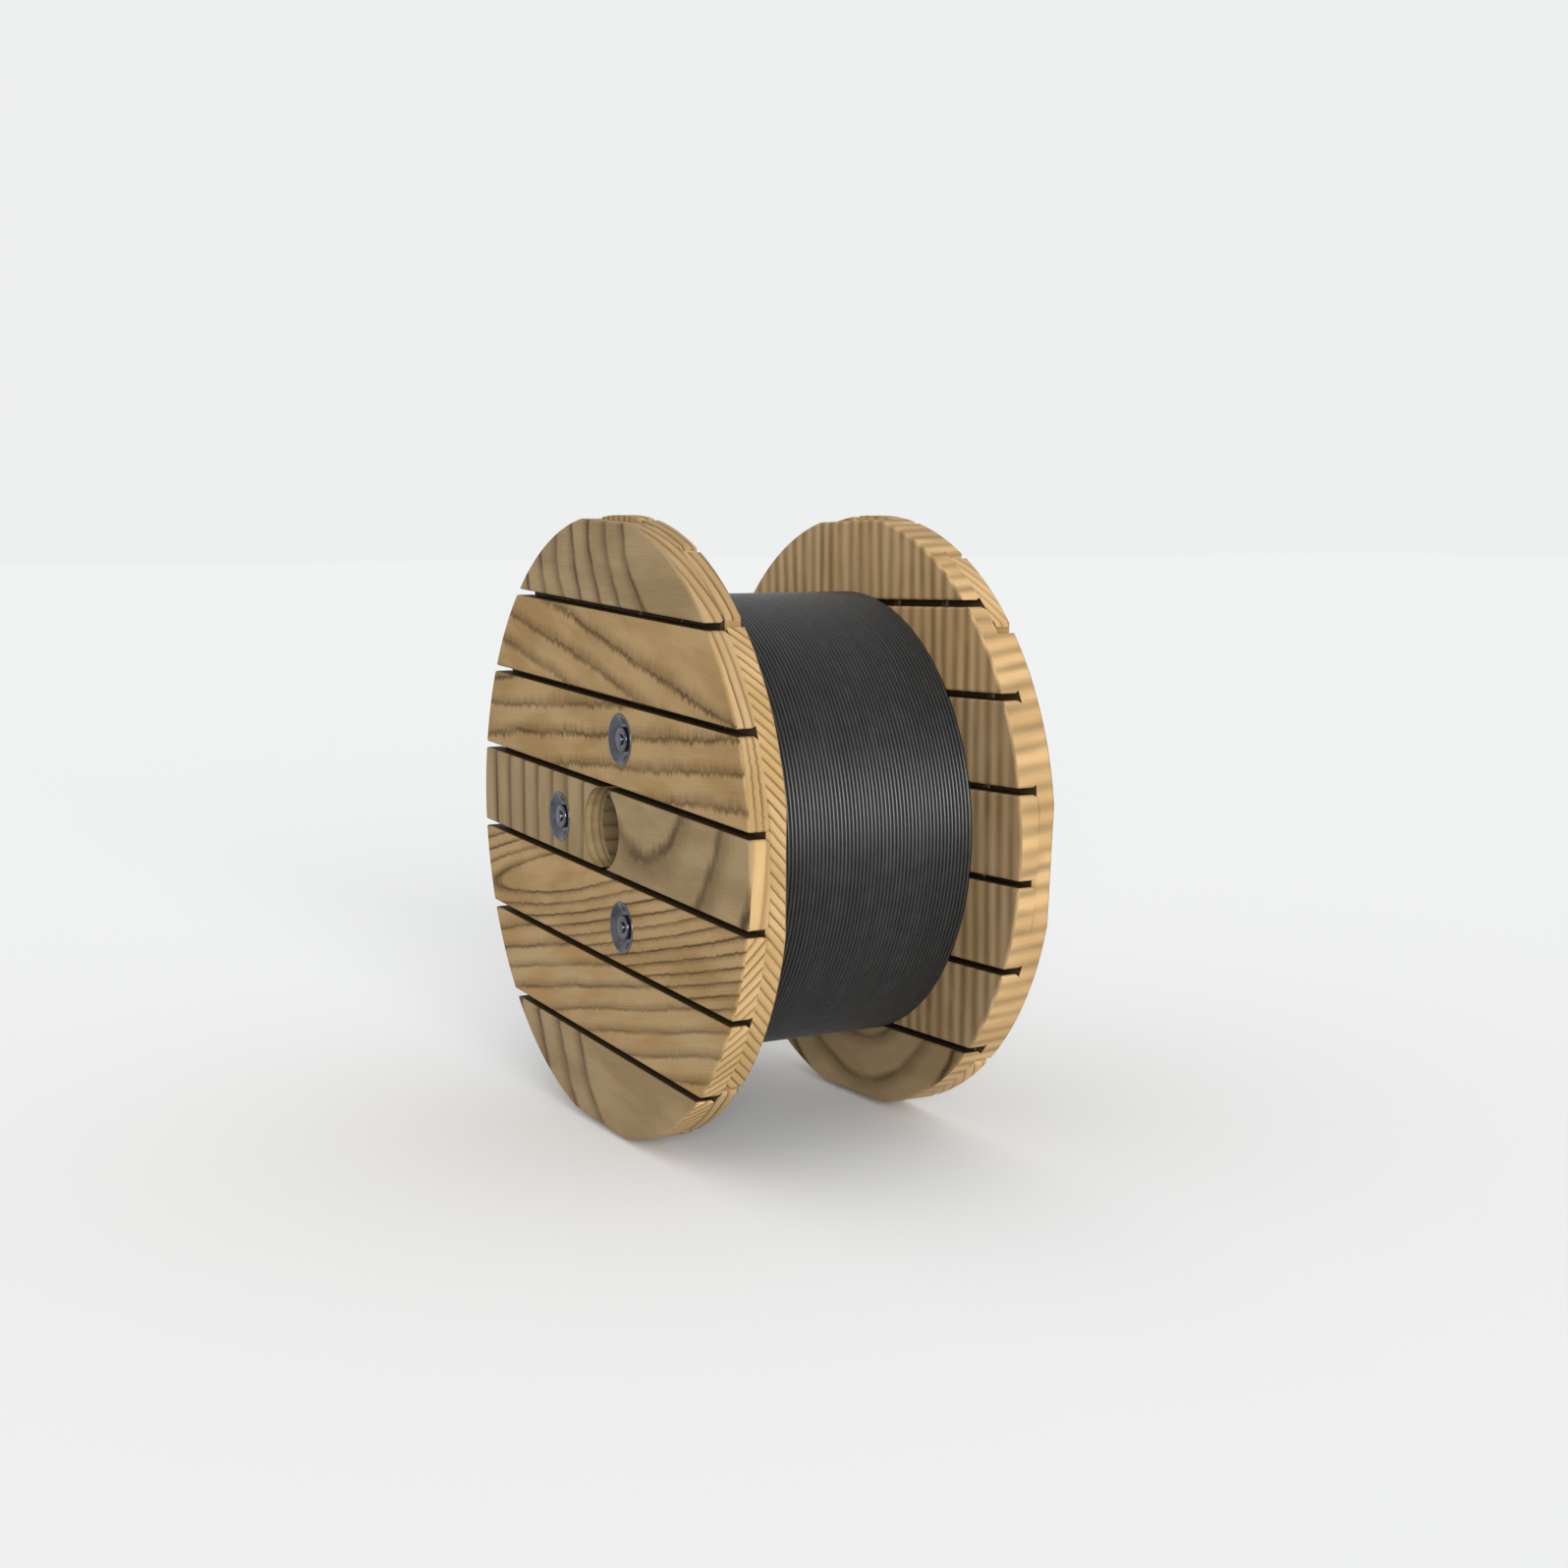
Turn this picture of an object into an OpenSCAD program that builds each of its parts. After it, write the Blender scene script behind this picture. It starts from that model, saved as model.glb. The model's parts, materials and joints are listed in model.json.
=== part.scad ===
// Wooden cable drum: two crossed-board flanges, a barrel of staves, tie bolts and a full winding.
// The axis lies along Y, the front flange faces -Y and the drum stands on its rims.
// The origin is on the axis, midway between the flanges.

/* [Flange boards] */
// Diameter of each flange
flange_d = 600; // [540:5:680]
// Width of one flange board
board_w = 79; // [72:0.5:84]
// Thickness of one flange board
board_t = 20; // [16:1:30]
// Open joint between neighbouring boards
board_gap = 6; // [2:0.5:8]
// Chamfer along the long edges of every board and round each open face
edge_chamfer = 3; // [1:0.25:5]
// How far along each side the rounding of a board corner reaches
corner_l = 4; // [2:0.5:6]
// Diameter of the arbor hole
bore_d = 80; // [70:0.5:100]

/* [Layer turns] */
// Turn of the level boards outside the front flange, in degrees
front_outer_turn = -2.6; // [-6:0.1:6]
// Turn of the upright boards inside the front flange, in degrees
front_inner_turn = -1; // [-6:0.1:6]
// Turn of the level boards inside the back flange, in degrees
back_inner_turn = 1.4; // [-6:0.1:6]
// Turn of the upright boards outside the back flange, in degrees
back_outer_turn = -4; // [-6:0.1:6]
// How far off the axis the middle upright board of the front flange sits
front_inner_shift = 3; // [0:0.5:4]

/* [Barrel] */
// Inside distance between the two flanges
traverse = 240; // [180:5:320]
// Barrel diameter across the flats of opposite staves
barrel_d = 280; // [260:2:320]
// Thickness of one barrel stave
stave_t = 20; // [14:1:24]
// Joint between neighbouring staves at their inner edges
stave_gap = 2; // [0.5:0.5:6]

/* [Winding] */
// Diameter of the cable
cable_d = 4; // [3:0.5:6]
// Layers of turns between the barrel and the outside of the winding
winding_layers = 20; // [8:1:24]
// Play between the winding and the stave corners
winding_bore_play = 0.3; // [0.1:0.1:0.8]
// Play between the winding and each flange
winding_side_play = 0.3; // [0.1:0.1:0.8]

/* [Tie bolts] */
// Room between a bolt shank and the stave it passes
bolt_room = 14; // [8:0.5:24]
// Diameter of a bolt shank
bolt_d = 12; // [8:1:14]
// Radial play of a shank in its holes
bolt_play = 0.5; // [0.2:0.1:1]
// Diameter of a round bolt head
head_d = 24; // [20:0.5:26]
// Height of a bolt head above its seat
head_h = 5.5; // [4:0.5:8]
// Diameter of the boss on a bolt head
boss_d = 11; // [8:0.5:14]
// Height of the boss on a bolt head
boss_h = 2; // [1:0.25:3]
// Rounding chamfer on the head's rim
head_chamfer = 1.5; // [0.5:0.25:2.5]
// Width of a nut across its flats
nut_w = 18; // [16:0.5:20]
// Height of a nut
nut_h = 10; // [6:0.5:12]
// Radial play of a shank in its nut
nut_play = 0.1; // [0.05:0.05:0.3]
// Length of shank that stands out of a nut
tip_l = 2; // [1:0.5:6]

/* [Dished washers] */
// Outer diameter of a dished washer
dish_d = 50; // [46:0.5:58]
// Diameter of the dish's flat floor
dish_floor_d = 29; // [27:0.5:34]
// Depth of the dish floor below the flange face
dish_depth = 6; // [3:0.5:8]
// Sheet thickness of a dished washer
dish_t = 2; // [1:0.25:3]
// Height of the rim above the flange face
rim_h = 0.5; // [0.25:0.25:3]
// Radial play of a washer's cone in its pocket
pocket_play = 0.3; // [0.1:0.1:0.8]

/* [Hidden] */
$fn = 96;
flange_r = flange_d / 2;
board_pitch = board_w + board_gap;
board_rows = 7;
middle_row = (board_rows + 1) / 2;
// How far a cutting shape reaches past what it cuts.
cut_over = 20;
corner_steps = 4;
inner_face = traverse / 2;
outer_face = inner_face + 2 * board_t;
bolt_angles = [64, 180, 296];
shank_hole_r = bolt_d / 2 + bolt_play;
dish_seat = dish_depth + dish_t;
stave_count = 12;
stave_inner = barrel_d / 2 - stave_t;
stave_w = 2 * stave_inner * tan(180 / stave_count) - stave_gap;
stave_corner_r = norm([barrel_d / 2, stave_w / 2]);
bolt_circle_r = stave_inner - bolt_room - bolt_d / 2;
winding_bore_r = stave_corner_r + winding_bore_play;
turn_depth = cable_d / 4;

// Each layer: name, nearest-to-back face along the axis, turn, whether its boards stand upright,
// and the shift of its middle board. Upright layers have their open face at the back.
layers = [
    ["front_outer", inner_face + board_t, front_outer_turn, false, 0],
    ["front_inner", inner_face, 90 + front_inner_turn, true, front_inner_shift],
    ["back_inner", -inner_face - board_t, back_inner_turn, false, 0],
    ["back_outer", -outer_face, 90 + back_outer_turn, true, 0],
];
// Each board: row from the top or left, and which half it is where the arbor hole splits the row.
boards = [
    for (row = [1 : board_rows], half = row == middle_row ? [-1, 1] : [0]) [row, half]
];
bolts = [for (i = [0 : len(bolt_angles) - 1]) i];

function half_name(layer, half) =
    half == 0 ? "" : layer[3] ? (half > 0 ? "_upper" : "_lower") : (half > 0 ? "_right" : "_left");
function board_name(layer, board) = str(layer[0], "_board_", board[0], half_name(layer, board[1]));
function stave_name(i) = str("barrel_stave_", i + 1);
function bolt_name(i) = str("tie_bolt_", i + 1);
function nut_name(i) = str("nut_", i + 1);
function front_washer_name(i) = str("front_dish_washer_", i + 1);
function back_washer_name(i) = str("back_dish_washer_", i + 1);
function row_middle(layer, row) = (middle_row - row) * board_pitch + (row == middle_row ? layer[4] : 0);

// Stands the axis, drawn along Z, along -Y with the drawing's Y upwards.
module lay_axis() {
    rotate([90, 0, 0]) children();
}

// Puts the children at one tie bolt, on the axis plane.
module at_bolt(i) {
    rotate(bolt_angles[i]) translate([bolt_circle_r, 0, 0]) children();
}

// Turns the children round so that they face out of the back flange.
module at_back() {
    mirror([0, 0, 1]) children();
}

// The round blank that a layer's boards are cut from, chamfered round its open face only.
module flange_blank(open_back) {
    translate([0, 0, open_back ? board_t : 0]) mirror([0, 0, open_back ? 1 : 0])
        rotate_extrude()
            polygon([
                [0, 0],
                [flange_r, 0],
                [flange_r, board_t - edge_chamfer],
                [flange_r - edge_chamfer, board_t],
                [0, board_t],
            ]);
}

// A sawn board with chamfered long edges, from one place along its length to another.
module sawn_board(middle, from, to) {
    side = board_w / 2;
    translate([from, middle, 0]) rotate([90, 0, 90]) linear_extrude(to - from)
        polygon([
            [-side + edge_chamfer, 0],
            [side - edge_chamfer, 0],
            [side, edge_chamfer],
            [side, board_t - edge_chamfer],
            [side - edge_chamfer, board_t],
            [-side + edge_chamfer, board_t],
            [-side, board_t - edge_chamfer],
            [-side, edge_chamfer],
        ]);
}

// A point past one end of a line, by the cutting shapes' reach.
function beyond(from, to) = to + cut_over * (to - from) / norm(to - from);

// What is cut off where a board's long edge meets the rim: outside is +1 or -1 across the board.
module corner_cut(edge, outside) {
    corner_r = corner_l * tan(45 + outside * asin(edge / flange_r) / 2);
    centre_v = edge - outside * corner_r;
    centre_r = flange_r - corner_r;
    centre = [sqrt(centre_r ^ 2 - centre_v ^ 2), centre_v];
    rim_angle = asin(centre_v / centre_r);
    arc = [
        for (i = [0 : corner_steps])
            let (a = outside * 90 + (rim_angle - outside * 90) * i / corner_steps)
                centre + corner_r * [cos(a), sin(a)]
    ];
    past_edge = beyond(arc[1], arc[0]);
    past_rim = beyond(arc[corner_steps - 1], arc[corner_steps]);
    past_corner = beyond(centre, [sqrt(flange_r ^ 2 - edge ^ 2), edge]);
    translate([0, 0, -cut_over]) linear_extrude(board_t + 2 * cut_over)
        polygon(concat([past_edge], [for (i = [1 : corner_steps - 1]) arc[i]], [past_rim, past_corner]));
}

// One board of a layer, lying flat with its length along X.
module board_blank(layer, row, half) {
    middle = row_middle(layer, row);
    reach = flange_r + cut_over;
    difference() {
        intersection() {
            flange_blank(layer[3]);
            sawn_board(middle, half > 0 ? 0 : -reach, half < 0 ? 0 : reach);
        }
        for (end = half == 0 ? [0, 1] : [half > 0 ? 0 : 1], outside = [-1, 1]) {
            edge = middle + outside * board_w / 2;
            if (abs(edge) < flange_r - 2 * corner_l)
                mirror([end, 0, 0]) corner_cut(edge, outside);
        }
    }
}

// The pocket that a dished washer seats in, with the flange face at zero height.
module washer_pocket() {
    rotate_extrude()
        polygon([
            [0, -dish_seat],
            [dish_floor_d / 2 + pocket_play, -dish_seat],
            [dish_d / 2 + pocket_play, 0],
            [dish_d / 2 + pocket_play, cut_over],
            [0, cut_over],
        ]);
}

module flange_board(layer, board) {
    color(layer[3] ? "burlywood" : "tan") lay_axis()
        difference() {
            translate([0, 0, layer[1]]) rotate(layer[2]) board_blank(layer, board[0], board[1]);
            cylinder(h = 2 * outer_face + cut_over, d = bore_d, center = true);
            for (i = bolts) at_bolt(i) {
                cylinder(h = 2 * outer_face + cut_over, r = shank_hole_r, center = true);
                translate([0, 0, outer_face]) washer_pocket();
                at_back() translate([0, 0, outer_face]) washer_pocket();
            }
        }
}

module barrel_stave(i) {
    color("peru") lay_axis()
        rotate(i * 360 / stave_count) translate([stave_inner, -stave_w / 2, -inner_face])
            cube([stave_t, stave_w, traverse]);
}

// A round-headed bolt from the front dish floor through to past the nut.
module tie_bolt(i) {
    seat = outer_face - dish_depth;
    head_r = head_d / 2;
    head_top = seat + head_h;
    color("slategray") lay_axis() at_bolt(i)
        rotate_extrude()
            polygon([
                [0, -seat - nut_h - tip_l],
                [bolt_d / 2, -seat - nut_h - tip_l],
                [bolt_d / 2, seat],
                [head_r, seat],
                [head_r, head_top - head_chamfer],
                [head_r - head_chamfer, head_top],
                [boss_d / 2, head_top],
                [boss_d / 2, head_top + boss_h],
                [0, head_top + boss_h],
            ]);
}

// A pressed washer: a flat floor, a cone and a rim that stands just clear of the flange face.
module dish_washer() {
    color("gray") translate([0, 0, outer_face])
        rotate_extrude()
            polygon([
                [shank_hole_r, -dish_seat],
                [dish_floor_d / 2, -dish_seat],
                [dish_d / 2, 0],
                [dish_d / 2, rim_h],
                [dish_d / 2 - dish_t, rim_h],
                [dish_floor_d / 2, -dish_depth],
                [shank_hole_r, -dish_depth],
            ]);
}

module front_dish_washer(i) {
    lay_axis() at_bolt(i) dish_washer();
}

module back_dish_washer(i) {
    lay_axis() at_bolt(i) at_back() dish_washer();
}

module nut(i) {
    color("dimgray") lay_axis() at_bolt(i) at_back()
        translate([0, 0, outer_face - dish_depth])
            difference() {
                cylinder(h = nut_h, d = nut_w / cos(30), $fn = 6);
                translate([0, 0, -cut_over])
                    cylinder(h = nut_h + 2 * cut_over, r = bolt_d / 2 + nut_play);
            }
}

// Points across one end of the winding, from its bore out, with a ridge for each layer of turns.
function end_turns(side, half_w) = [
    for (i = [0 : 2 * winding_layers])
        [winding_bore_r + i * cable_d / 2, side * (half_w - (i % 2 == 0 ? turn_depth : 0))]
];

// The cable, wound tight from flange to flange, as one turned solid with its bore.
module cable_winding() {
    half_w = inner_face - winding_side_play;
    back_end = end_turns(-1, half_w);
    front_end = end_turns(1, half_w);
    color([0.13, 0.13, 0.14]) lay_axis()
        rotate_extrude()
            polygon(concat(back_end, [for (i = [len(front_end) - 1 : -1 : 0]) front_end[i]]));
}

for (layer = layers, board = boards)
    flange_board(layer, board);
for (i = [0 : stave_count - 1])
    barrel_stave(i);
for (i = bolts) {
    tie_bolt(i);
    front_dish_washer(i);
    back_dish_washer(i);
    nut(i);
}
cable_winding();
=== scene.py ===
import bpy
import json
import math
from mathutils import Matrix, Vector

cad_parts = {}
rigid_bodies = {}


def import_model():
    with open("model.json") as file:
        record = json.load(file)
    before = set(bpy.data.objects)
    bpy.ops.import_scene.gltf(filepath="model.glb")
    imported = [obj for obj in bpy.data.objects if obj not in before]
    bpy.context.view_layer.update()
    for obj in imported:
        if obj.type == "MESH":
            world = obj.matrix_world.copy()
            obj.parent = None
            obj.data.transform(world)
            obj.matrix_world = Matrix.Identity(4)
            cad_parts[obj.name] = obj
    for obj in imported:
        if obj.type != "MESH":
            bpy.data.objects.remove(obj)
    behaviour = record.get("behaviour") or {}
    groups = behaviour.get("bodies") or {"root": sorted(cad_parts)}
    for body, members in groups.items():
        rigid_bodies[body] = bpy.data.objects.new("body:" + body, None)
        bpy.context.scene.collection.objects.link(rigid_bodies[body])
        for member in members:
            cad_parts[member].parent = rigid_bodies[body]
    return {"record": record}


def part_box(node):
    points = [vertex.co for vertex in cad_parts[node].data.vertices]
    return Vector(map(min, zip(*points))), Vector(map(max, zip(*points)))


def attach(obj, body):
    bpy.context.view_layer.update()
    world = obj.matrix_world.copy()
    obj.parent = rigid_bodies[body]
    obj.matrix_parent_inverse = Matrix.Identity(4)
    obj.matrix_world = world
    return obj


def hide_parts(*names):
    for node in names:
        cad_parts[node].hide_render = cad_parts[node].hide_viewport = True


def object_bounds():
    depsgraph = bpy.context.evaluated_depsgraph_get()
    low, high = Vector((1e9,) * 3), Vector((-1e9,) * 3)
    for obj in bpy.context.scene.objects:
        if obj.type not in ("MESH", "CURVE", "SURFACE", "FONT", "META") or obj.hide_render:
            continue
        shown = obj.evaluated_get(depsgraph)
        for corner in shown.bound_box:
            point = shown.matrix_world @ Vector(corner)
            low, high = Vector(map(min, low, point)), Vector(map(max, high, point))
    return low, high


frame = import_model()
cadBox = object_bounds()
print("drum frame loaded")

mm = 0.001
flangeRadius = cadBox[1][0]
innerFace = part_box("barrel_stave_1")[1].y    # where each flange starts, from the middle of the drum
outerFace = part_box("back_outer_board_1")[1].y
arborRadius = frame["record"]["mounts"][0]["dims"]["r_mm"] * mm
nearly = 0.01 * mm    # places closer than this are the same


# small helpers for modelling

def deselectAll():
    bpy.ops.object.select_all(action="DESELECT")


def activate(piece):
    deselectAll()
    piece.select_set(True)
    bpy.context.view_layer.objects.active = piece


def settle(piece):
    # the place goes into the mesh and the object stays at the origin
    activate(piece)
    bpy.ops.object.transform_apply(location=True, rotation=True, scale=True)


def copyOf(piece, name):
    twin = piece.copy()
    twin.data = piece.data.copy()
    twin.name = name
    bpy.context.collection.objects.link(twin)
    return twin


def applyBoolean(piece, tool, operation):
    activate(piece)
    cut = piece.modifiers.new("cut", "BOOLEAN")
    cut.operation = operation
    cut.object = tool
    cut.solver = "EXACT"
    bpy.ops.object.modifier_apply(modifier=cut.name)


def smoothShade(piece, angle):
    activate(piece)
    bpy.ops.object.shade_smooth_by_angle(angle=math.radians(angle))
    even = piece.modifiers.new("even", "WEIGHTED_NORMAL")
    even.keep_sharp = True
    bpy.ops.object.modifier_apply(modifier=even.name)


def discard(*pieces):
    for piece in pieces:
        bpy.data.objects.remove(piece)


def turnOutline(name, outline, steps):
    # a plane shrinks to one point, which is drawn along the outline and spun round the drum's axis
    deselectAll()
    bpy.ops.mesh.primitive_plane_add(size=mm)
    piece = bpy.context.object
    piece.name = name
    bpy.ops.object.mode_set(mode="EDIT")
    bpy.ops.mesh.select_mode(type="VERT")
    bpy.ops.mesh.select_all(action="SELECT")
    bpy.ops.mesh.merge(type="CENTER")
    here = Vector((0, 0, 0))
    for i, (radius, along) in enumerate(outline):
        there = Vector((radius, along, 0))
        if i == 0:
            bpy.ops.transform.translate(value=there)
        else:
            bpy.ops.mesh.extrude_vertices_move(TRANSFORM_OT_translate={"value": there - here})
        here = there
    bpy.ops.mesh.select_all(action="SELECT")
    bpy.ops.mesh.spin(steps=steps, angle=2 * math.pi, center=(0, 0, 0), axis=(0, 1, 0))
    bpy.ops.mesh.select_all(action="SELECT")
    bpy.ops.mesh.remove_doubles(threshold=nearly)
    bpy.ops.mesh.normals_make_consistent(inside=False)
    bpy.ops.object.mode_set(mode="OBJECT")
    return piece


def bevelRings(piece, rings, offset, segments):
    # rounds the rings that lie at each radius and place along the axis
    near = 0.05 * mm
    mesh = piece.data

    def onRing(v, ring):
        return abs(math.hypot(v.co.x, v.co.z) - ring[0]) < near and abs(v.co.y - ring[1]) < near

    activate(piece)
    bpy.ops.object.mode_set(mode="EDIT")
    bpy.ops.mesh.select_mode(type="EDGE")
    bpy.ops.mesh.select_all(action="DESELECT")
    bpy.ops.object.mode_set(mode="OBJECT")
    for edge in mesh.edges:
        ends = [mesh.vertices[i] for i in edge.vertices]
        edge.select = any(all(onRing(v, ring) for v in ends) for ring in rings)
    bpy.ops.object.mode_set(mode="EDIT")
    bpy.ops.mesh.bevel(offset=offset, segments=segments, affect="EDGES")
    bpy.ops.object.mode_set(mode="OBJECT")


# small helpers for shader nodes

def feed(tree, socket, source):
    if isinstance(source, bpy.types.NodeSocket):
        tree.links.new(source, socket)
    else:
        socket.default_value = source


def mathNode(tree, operation, *sources):
    node = tree.nodes.new("ShaderNodeMath")
    node.operation = operation
    for socket, source in zip(node.inputs, sources):
        feed(tree, socket, source)
    return node.outputs[0]


def rangeNode(tree, value, low, high, toLow, toHigh):
    node = tree.nodes.new("ShaderNodeMapRange")
    node.interpolation_type = "SMOOTHSTEP"
    for socket, source in zip(node.inputs, (value, low, high, toLow, toHigh)):
        feed(tree, socket, source)
    return node.outputs[0]


def noiseNode(tree, vector, scale, detail, roughness=0.5):
    node = tree.nodes.new("ShaderNodeTexNoise")
    feed(tree, node.inputs["Vector"], vector)
    feed(tree, node.inputs["Scale"], scale)
    node.inputs["Detail"].default_value = detail
    node.inputs["Roughness"].default_value = roughness
    return node.outputs[0]


def joinXyz(tree, x, y, z):
    node = tree.nodes.new("ShaderNodeCombineXYZ")
    for socket, source in zip(node.inputs, (x, y, z)):
        feed(tree, socket, source)
    return node.outputs[0]


def splitXyz(tree, vector):
    node = tree.nodes.new("ShaderNodeSeparateXYZ")
    feed(tree, node.inputs[0], vector)
    return node.outputs


def mixColour(tree, factor, a, b, blend="MIX"):
    node = tree.nodes.new("ShaderNodeMix")
    node.data_type = "RGBA"
    node.blend_type = blend
    feed(tree, node.inputs[0], factor)
    feed(tree, node.inputs[6], a)
    feed(tree, node.inputs[7], b)
    return node.outputs[2]


def newGroup(name, inputs, outputs):
    group = bpy.data.node_groups.new(name, "ShaderNodeTree")
    kinds = {"vector": "NodeSocketVector", "value": "NodeSocketFloat", "colour": "NodeSocketColor"}
    for label, kind in inputs:
        group.interface.new_socket(label, in_out="INPUT", socket_type=kinds[kind])
    for label, kind in outputs:
        group.interface.new_socket(label, in_out="OUTPUT", socket_type=kinds[kind])
    return group, group.nodes.new("NodeGroupInput").outputs, group.nodes.new("NodeGroupOutput").inputs


def newMaterial(name, roughness, metallic=0.0):
    material = bpy.data.materials.new(name)
    material.use_nodes = True
    shader = material.node_tree.nodes["Principled BSDF"]
    shader.inputs["Roughness"].default_value = roughness
    shader.inputs["Metallic"].default_value = metallic
    return material, material.node_tree, shader


def bumpNormal(tree, height, distance, strength):
    bump = tree.nodes.new("ShaderNodeBump")
    bump.inputs["Strength"].default_value = strength
    bump.inputs["Distance"].default_value = distance
    tree.links.new(height, bump.inputs["Height"])
    return bump.outputs[0]


# camera, placed in metres from the middle of the drum
photoCamera = {
    "place": (1.8882, -1.0224, 0.2934),
    "tilt": 83.102,    # degrees up from looking straight down
    "heading": 60.579,
    "lens": 49.72,
    "sensor": 36,
}


def addCamera(cam):
    turn = (math.radians(cam["tilt"]), 0, math.radians(cam["heading"]))
    bpy.ops.object.camera_add(location=cam["place"], rotation=turn)
    camera = bpy.context.object
    camera.name = "photoCamera"
    camera.data.lens = cam["lens"]
    camera.data.sensor_width = cam["sensor"]
    bpy.context.scene.camera = camera


deselectAll()
addCamera(photoCamera)
print("camera placed")


# wood grain, shared by boards, rims and staves: dark lines along X, straight or in long rings

def makeGrainGroup():
    inputs = [
        ("Vector", "vector"),       # millimetres, X along the grain and Y across it
        ("Spacing", "value"),
        ("Start", "value"),         # distance of the first line
        ("Last", "value"),          # no lines after this one, counted from the first
        ("Rings", "value"),         # 0 straight lines, 1 rings round the middle
        ("Stretch", "value"),
        ("Wave", "value"),          # slow sway of the lines
        ("Jag", "value"),           # height of the spikes along a line
        ("Jag Size", "value"),
        ("Width", "value"),         # share of the spacing that a line takes
        ("Depth", "value"),
        ("Shade", "value"),         # soft darkening towards each line
        ("Light", "colour"),
        ("Warm", "colour"),
        ("Dark", "colour"),
    ]
    outputs = [("Color", "colour"), ("Roughness", "value"), ("Height", "value")]
    tree, given, result = newGroup("boardGrain", inputs, outputs)
    x, y, z = splitXyz(tree, given["Vector"])

    slow = joinXyz(tree, mathNode(tree, "MULTIPLY", x, 0.35), y, z)
    sway = mathNode(tree, "SUBTRACT", noiseNode(tree, slow, 0.018, 2), 0.5)
    sway = mathNode(tree, "MULTIPLY", sway, given["Wave"])
    tall = mathNode(tree, "MULTIPLY", given["Jag Size"], 7)
    spiky = joinXyz(
        tree,
        mathNode(tree, "DIVIDE", x, given["Jag Size"]),
        mathNode(tree, "DIVIDE", y, tall),
        mathNode(tree, "DIVIDE", z, tall),
    )
    jag = mathNode(tree, "SUBTRACT", noiseNode(tree, spiky, 1, 4, 0.7), 0.5)
    jag = mathNode(tree, "MULTIPLY", jag, given["Jag"])

    # distance across the grain, straight or from the middle of long rings
    stretched = mathNode(tree, "DIVIDE", x, given["Stretch"])
    squares = mathNode(tree, "MULTIPLY_ADD", stretched, stretched, mathNode(tree, "MULTIPLY", y, y))
    ring = mathNode(tree, "SQRT", squares)
    across = tree.nodes.new("ShaderNodeMix")
    feed(tree, across.inputs[0], given["Rings"])
    feed(tree, across.inputs[2], y)
    feed(tree, across.inputs[3], ring)
    across = mathNode(tree, "ADD", across.outputs[0], mathNode(tree, "ADD", sway, jag))
    count = mathNode(tree, "DIVIDE", mathNode(tree, "SUBTRACT", across, given["Start"]), given["Spacing"])
    # inside the first ring there are no more lines
    lowest = mathNode(tree, "MULTIPLY_ADD", mathNode(tree, "SUBTRACT", given["Rings"], 1), 1000, -0.5)
    count = mathNode(tree, "MAXIMUM", count, lowest)
    count = mathNode(tree, "MINIMUM", count, mathNode(tree, "ADD", given["Last"], 0.49))
    half = mathNode(tree, "ADD", count, 0.5)
    past = mathNode(tree, "SUBTRACT", mathNode(tree, "FRACT", half), 0.5)
    away = mathNode(tree, "MULTIPLY", mathNode(tree, "ABSOLUTE", past), 2)

    # each line has its own strength
    lot = tree.nodes.new("ShaderNodeTexWhiteNoise")
    lot.noise_dimensions = "1D"
    feed(tree, lot.inputs["W"], mathNode(tree, "FLOOR", half))
    strength = rangeNode(tree, lot.outputs[0], 0, 1, 0.75, 1)
    patch = noiseNode(tree, given["Vector"], 0.02, 1)
    strength = mathNode(tree, "MULTIPLY", strength, rangeNode(tree, patch, 0.3, 0.6, 0.7, 1))
    line = rangeNode(tree, away, 0, given["Width"], 1, 0)
    line = mathNode(tree, "MULTIPLY", mathNode(tree, "MULTIPLY", line, strength), given["Depth"])
    # the wood darkens slowly up to a line on one side and is pale again at once on the other
    after = rangeNode(tree, past, 0, 0.45, 1, 0)
    soft = mathNode(tree, "MULTIPLY", after, rangeNode(tree, past, -0.1, 0, 0, 1))
    soft = mathNode(tree, "MULTIPLY", soft, given["Shade"])
    mark = mathNode(tree, "MAXIMUM", line, soft)

    # fine fibres, and a slow drift from pale to golden
    long = joinXyz(tree, mathNode(tree, "MULTIPLY", x, 0.03), y, z)
    fibre = noiseNode(tree, long, 0.7, 3, 0.6)
    drift = rangeNode(tree, noiseNode(tree, slow, 0.025, 2), 0.35, 0.65, 0, 1)
    colour = mixColour(tree, drift, given["Light"], given["Warm"])
    colour = mixColour(tree, mark, colour, given["Dark"])
    pale = rangeNode(tree, fibre, 0.3, 0.7, 0.94, 1.04)
    shadeOf = joinXyz(tree, pale, pale, pale)
    colour = mixColour(tree, 1.0, colour, shadeOf, "MULTIPLY")
    feed(tree, result["Color"], colour)
    feed(tree, result["Roughness"], rangeNode(tree, fibre, 0.3, 0.7, 0.62, 0.48))
    height = mathNode(tree, "SUBTRACT", mathNode(tree, "MULTIPLY", fibre, 0.3), line)
    feed(tree, result["Height"], height)
    return tree


# the way round a rim: X runs along it, Y through the flange, in millimetres

def makeRimGroup():
    tree, given, result = newGroup("rimCoordinates", [("Vector", "vector")], [("Vector", "vector")])
    x, y, z = splitXyz(tree, given["Vector"])
    turn = mathNode(tree, "ARCTAN2", z, x)
    along = mathNode(tree, "MULTIPLY", turn, flangeRadius / mm)
    feed(tree, result["Vector"], joinXyz(tree, along, mathNode(tree, "DIVIDE", y, mm), 0))
    return tree


grainGroup = makeGrainGroup()
rimGroup = makeRimGroup()

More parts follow.
